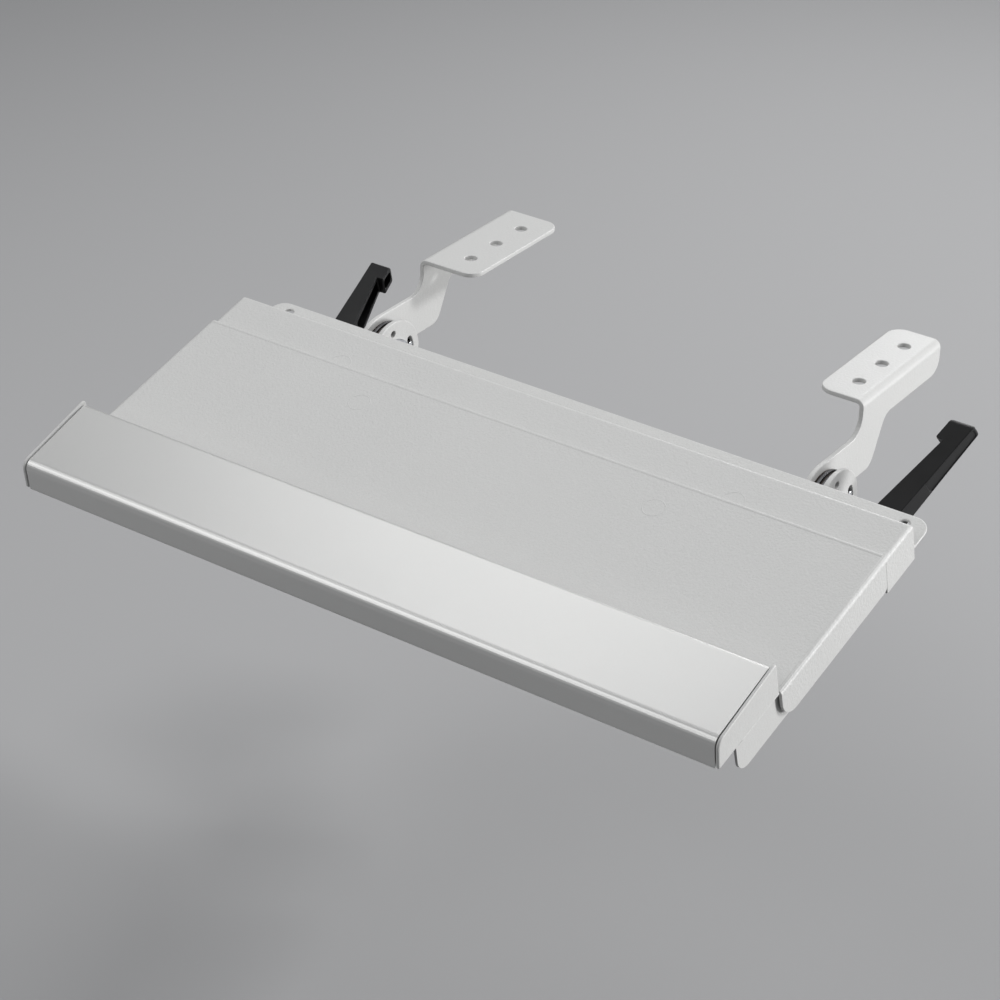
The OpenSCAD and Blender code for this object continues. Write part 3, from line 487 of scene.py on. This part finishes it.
# Hand rest: socket screws from below, nuts on its feet and on the end plates' tabs
REST_SCREW_YS = (-125.6, -147.8)
REST_SCREW_Z = -6
REST_NUT_Z = {-231: 0.8, -180: -0.7, -60: -0.7, 60: -0.7, 180: -0.7, 231: 0.8}
bm_screws = bmesh.new()
bm_nuts = bmesh.new()
socket = hexagon(2.5)
for x, nut_z in REST_NUT_Z.items():
    for y in REST_SCREW_YS:
        lathe(bm_screws, on_tray(x, y, REST_SCREW_Z),
              [(1.2, socket), (0, socket), (0, 2.3), (0.15, 2.75), (0.6, 3.25), (1.3, 3.5),
               (2.2, 3.5), (2.2, 2)] + thread(2.5, 10.3, *M4) + [(10.8, 1.4)])
        hex_nut(bm_nuts, on_tray(x, y, nut_z), *M4_NUT)
new_piece("rest_socket_screws", bm_screws, zinc, "zinc_steel", "hand_rest", "rest_screws")
new_piece("rest_hex_nuts", bm_nuts, zinc, "zinc_steel", "hand_rest", "rest_nuts")

# Faint raised rings that the weld studs leave in the coat
MARK_RINGS = [(-0.3, 6.2), (0, 6.3), (0.12, 6.6), (0.12, 6.8), (0, 7.1), (-0.3, 7.2)]
bm = bmesh.new()
for side in SIDES:
    for mark in (on_tray(side * STRAP_X, SHELF_STUD_Y, 0),
                 on_tray(side * BRACKET_STUD_X, BRACKET_STUD_YS[0], SHELF_BOT)):
        lathe(bm, mark, MARK_RINGS, closed=True, segments=72)
new_piece("weld_marks", bm, textured_coat, "powder_coat", "tray")

# Rounded lip of coat along the shelf's rear edge
LIP_HALF_X, LIP_Y, LIP_Z = 238, -1.25, -0.38
LIP_R, LIP_FLATNESS = 1.4, 0.42
ALONG_X = Matrix.Rotation(math.pi / 2, 4, "Y")
bm = bmesh.new()
lathe(bm, on_tray(0, LIP_Y, LIP_Z) @ Matrix.Diagonal((1, 1, LIP_FLATNESS, 1)) @ ALONG_X,
      [(-LIP_HALF_X, LIP_R), (LIP_HALF_X, LIP_R)], segments=40)
new_piece("shelf_rear_lip", bm, textured_coat, "powder_coat", "tray")

# Uneven bead of coat along the lower edge of each end plate, over the slide plate
ALONG_Y = Matrix.Rotation(-math.pi / 2, 4, "X")
BEAD_X, BEAD_START_Y, BEAD_Z = 240.5, -154, 0.3
BEAD_LENGTH, BEAD_R, BEAD_STEPS = 38.5, 0.4, 77
bead_rings = []
for k in range(BEAD_STEPS + 1):
    along = BEAD_LENGTH * k / BEAD_STEPS
    lump = (0.12 * math.sin(1.9 * along) * math.sin(0.7 * along + 1)
            + 0.1 * math.sin(5.3 * along))
    end = min(1, 0.2 + along, 0.2 + BEAD_LENGTH - along)
    bead_rings.append((along, BEAD_R * (1 + lump) * end))
bm = bmesh.new()
for side in SIDES:
    lathe(bm, on_tray(side * BEAD_X, BEAD_START_Y, BEAD_Z) @ ALONG_Y, bead_rings,
          segments=12)
new_piece("end_plate_coat_beads", bm, fine_coat, "powder_coat", "hand_rest")


# Tilt joints
def on_axis(x, outward):
    """A place on the tilt axis whose Z axis points to that side."""
    return Matrix.Translation((x, PIVOT_MM.y, PIVOT_MM.z)) @ Matrix.Rotation(
        outward * math.pi / 2, 4, "Y")


def serrated(radius, teeth=24, depth=0.6):
    """A toothed rim's radius at each angle."""
    return lambda angle: radius - depth * abs(2 * (angle * teeth / (2 * math.pi) % 1) - 1)


def spring(place, low, high, coil_r, wire_r, turns, end_turns=0.75, sides=10, steps=20):
    """A compression spring with closed ends, from low to high."""
    bm = bmesh.new()
    end_rise = end_turns * 2 * wire_r
    first, last = low + wire_r, high - wire_r

    def height(turn):
        if turn < end_turns:
            return first + turn * 2 * wire_r
        if turn > turns - end_turns:
            return last - (turns - turn) * 2 * wire_r
        share = (turn - end_turns) / (turns - 2 * end_turns)
        return first + end_rise + share * (last - first - 2 * end_rise)

    loops = []
    for k in range(int(turns * steps) + 1):
        turn = k / steps
        angle = 2 * math.pi * turn
        loop = []
        for n in range(sides):
            around = 2 * math.pi * n / sides
            r = coil_r + wire_r * math.cos(around)
            loop.append(bm.verts.new(place @ Vector(
                (r * math.cos(angle), r * math.sin(angle),
                 height(turn) + wire_r * math.sin(around))) * MM))
        loops.append(loop)
    for low_loop, high_loop in zip(loops, loops[1:]):
        for n in range(sides):
            m = (n + 1) % sides
            bm.faces.new((low_loop[n], low_loop[m], high_loop[m], high_loop[n]))
    bm.faces.new(reversed(loops[0]))
    bm.faces.new(loops[-1])
    return bm


SEAT_TO_HEAD = 28
# Per side: outward direction, lever seat, face under the nut, and the bodies of both ends
CLAMPS = {"left": (-1, -170.5, -154.9, "tray", "arms"),
          "right": (1, 169.9, 154.3, "arms", "tray")}
for side, (outward, seat, nut_face, nut_body, hub_body) in CLAMPS.items():
    nut_place = on_axis(nut_face, -outward)
    bm = bmesh.new()
    washer(bm, nut_place, *WIDE_WASHER)
    new_piece(f"{side}_wide_washer", bm, zinc, "zinc_steel", nut_body,
              f"{side}_pressure_washer")
    bm = bmesh.new()
    hex_nut(bm, nut_place @ Matrix.Translation((0, 0, WIDE_WASHER_T)), *M8_NUT)
    new_piece(f"{side}_hex_nut", bm, zinc, "zinc_steel", nut_body, f"{side}_clamp_nut")

    lever_place = on_axis(seat, outward)
    bm = bmesh.new()
    washer(bm, lever_place @ Matrix.Translation((0, 0, -WIDE_WASHER_T)), *HUB_WASHER)
    new_piece(f"{side}_seat_washer", bm, zinc, "zinc_steel", hub_body,
              f"{side}_hub_washer")
    # From the lever's seat outwards a serrated boss, inwards the collar and threaded shank
    bm = bmesh.new()
    lathe(bm, lever_place,
          [(18, 2.6), (18, 5.8), (17.4, serrated(6.7)), (1.2, serrated(6.7)), (1, 9.3),
           (0.8, 9.5), (0.15, 9.5), (0.05, 9.3), (0.05, 4), (-12, 4)]
          + thread(-12.4, -26, *M8) + [(-26.6, 2.9)])
    new_piece(f"{side}_serrated_stud", bm, zinc, "zinc_steel", f"{side}_clamp",
              f"{side}_clamp_stud")
    bm = bmesh.new()
    head_socket = hexagon(4)
    lathe(bm, lever_place,
          [(29.2, head_socket), (31, head_socket), (31, 3.9), (30.85, 4.2), (30.5, 4.45),
           (30, 4.5), (SEAT_TO_HEAD, 4.5), (SEAT_TO_HEAD, 2.5), (10, 2.5)])
    new_piece(f"{side}_socket_screw", bm, dark_steel, "dark_steel", f"{side}_clamp",
              f"{side}_lever_screw")
    bm = spring(lever_place, 20.5, SEAT_TO_HEAD, coil_r=4.2, wire_r=0.4, turns=4.5)
    coil = new_piece(f"{side}_coil_spring", bm, zinc, "spring_steel", f"{side}_clamp",
                     f"{side}_lever_spring")
    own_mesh(coil)

# Camera: the photograph's place and lens
PHOTO_FOCAL_PX = 2745
PHOTO_SIZE_PX = 1000
SENSOR_MM = 36
CAMERA_AT = Vector((801, -1328, 765)) * MM
CAMERA_RIGHT = Vector((0.814, 0.5808, 0.0075))
CAMERA_DOWN = Vector((0.3001, -0.4094, -0.8617))
camera_data = bpy.data.cameras.new("camera")
camera_data.sensor_width = SENSOR_MM
camera_data.lens = SENSOR_MM * PHOTO_FOCAL_PX / PHOTO_SIZE_PX
camera = bpy.data.objects.new("camera", camera_data)
right = CAMERA_RIGHT.normalized()
back = right.cross(-CAMERA_DOWN).normalized()
up = back.cross(right)
camera.matrix_world = Matrix.Translation(CAMERA_AT) @ Matrix(
    (right, up, back)).transposed().to_4x4()
bpy.context.scene.collection.objects.link(camera)
bpy.context.scene.camera = camera


def area_light(name, place, aim, size, power):
    """A rectangular lamp with its width level, size being its width and height."""
    data = bpy.data.lights.new(name, "AREA")
    data.shape = "RECTANGLE"
    data.size, data.size_y = size
    data.energy = power
    light = bpy.data.objects.new(name, data)
    light.location = place
    light.rotation_euler = (Vector(aim) - Vector(place)).to_track_quat("-Z", "Y").to_euler()
    bpy.context.scene.collection.objects.link(light)


TRAY_CENTRE = (0, -0.17, -0.05)
area_light("low_right", (2.25, 1.4, 0.1), TRAY_CENTRE, (0.7, 0.7), 48)
area_light("high_right", (1.69, 0.69, 1.26), TRAY_CENTRE, (0.3, 0.3), 22)
area_light("back", (-0.4, 1.5, 0.85), TRAY_CENTRE, (0.4, 0.4), 9)
area_light("sheen", (-0.7, 0.36, 1.45), TRAY_CENTRE, (1.0, 0.7), 6)
area_light("front_left", (-1.0, -1.37, 1.21), TRAY_CENTRE, (1.6, 1.2), 16)

# Floor: pale where it is seen or mirrored, and darker to the light that it would throw up
FLOOR_DROP = 0.25
FLOOR_HALF = 6.0
FLOOR_SEEN, FLOOR_TO_LIGHT = (0.4, 0.4, 0.405), (0.12, 0.12, 0.12)
floor_z = cad_bounds[0][2] - FLOOR_DROP
floor_mesh = bpy.data.meshes.new("floor")
corners = [(x * FLOOR_HALF, y * FLOOR_HALF, floor_z)
           for x, y in ((-1, -1), (1, -1), (1, 1), (-1, 1))]
floor_mesh.from_pydata(corners, [], [(0, 1, 2, 3)])
floor = bpy.data.objects.new("floor", floor_mesh)
bpy.context.scene.collection.objects.link(floor)
floor_material, floor_tree, floor_shader = new_material("floor")
light_path = add(floor_tree, "ShaderNodeLightPath")
seen = light_path.outputs["Is Camera Ray"]
for kind in ("Is Glossy Ray", "Is Transmission Ray"):
    either = add(floor_tree, "ShaderNodeMath", operation="MAXIMUM")
    floor_tree.links.new(seen, either.inputs[0])
    floor_tree.links.new(light_path.outputs[kind], either.inputs[1])
    seen = either.outputs["Value"]
floor_tree.links.new(mix_colour(floor_tree, seen, FLOOR_TO_LIGHT, FLOOR_SEEN),
                     floor_shader.inputs["Base Color"])
floor_shader.inputs["Roughness"].default_value = 0.9
floor_mesh.materials.append(floor_material)

world = bpy.data.worlds.new("world")
bpy.context.scene.world = world
world.use_nodes = True
sky = world.node_tree.nodes["Background"].inputs
sky["Color"].default_value = (0.8, 0.82, 0.85, 1)
sky["Strength"].default_value = 0.24

bpy.context.scene.view_settings.view_transform = "Standard"
